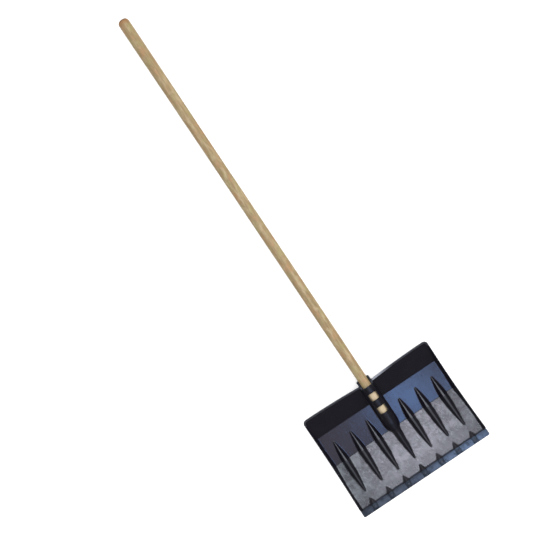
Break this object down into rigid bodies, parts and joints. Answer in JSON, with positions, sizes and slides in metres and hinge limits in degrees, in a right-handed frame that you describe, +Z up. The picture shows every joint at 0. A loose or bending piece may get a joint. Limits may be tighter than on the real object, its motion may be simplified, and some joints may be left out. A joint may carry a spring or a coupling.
{
  "type": "snow shovel",
  "caption": "Snow shovel: a wide ribbed black plastic scoop with a riveted metal wear strip on its front edge and a long round wooden handle held in a windowed socket.",
  "frame": {"origin": "middle of the whole shovel's outline seen from above, on the ground it lies on", "axes": "+X across the scoop, to the right when the grip end is at the top; +Y along the handle to the grip end; +Z up, out of the scoop's open side"},
  "size_m": [0.405, 1.4852, 0.0685],
  "materials": {
    "blade_plastic": "black moulded polypropylene with a satin surface, lightly scuffed and greyer on the front facet",
    "handle_wood": "pale turned wood, unvarnished, with fine grain along its length",
    "strip_metal": "thin folded sheet steel, dark and dull with a bluish sheen",
    "fastener_metal": "plain zinc-plated steel, dull"
  },
  "bodies": {
    "root": {"blade": "blade_plastic", "handle": "handle_wood", "wear_strip": "strip_metal", "handle_screw": "fastener_metal", "strip_rivet_1": "fastener_metal", "strip_rivet_2": "fastener_metal", "strip_rivet_3": "fastener_metal", "strip_rivet_4": "fastener_metal", "strip_rivet_5": "fastener_metal", "strip_rivet_6": "fastener_metal", "strip_rivet_7": "fastener_metal"}
  },
  "joints": []
}
